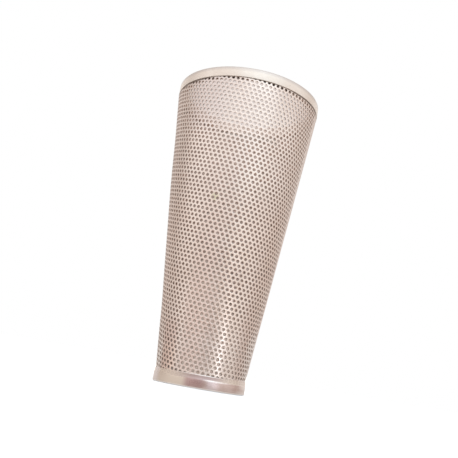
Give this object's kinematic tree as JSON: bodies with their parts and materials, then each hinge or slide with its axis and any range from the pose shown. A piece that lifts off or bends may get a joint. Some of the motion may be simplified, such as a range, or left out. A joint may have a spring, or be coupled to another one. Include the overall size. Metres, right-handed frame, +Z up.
{
  "type": "self-cleaning filter element",
  "caption": "Tapered strainer: perforated steel cone lined with wire cloth, between a wide rim ring and a narrow base ring, open at both ends.",
  "frame": {"origin": "centre of the base ring's foot, on the surface that the element stands on", "axes": "+Z up the cone's axis from the narrow end to the wide end, front facing -Y"},
  "size_m": [0.13, 0.13, 0.263],
  "materials": {
    "base_steel": "turned and polished stainless steel",
    "wire_cloth": "fine woven stainless wire cloth",
    "sheet_steel": "satin perforated stainless sheet",
    "rim_steel": "turned satin stainless steel"
  },
  "bodies": {
    "root": {"base_ring": "base_steel", "mesh_lining": "wire_cloth", "perforated_cone": "sheet_steel", "rim_ring": "rim_steel"}
  },
  "joints": []
}
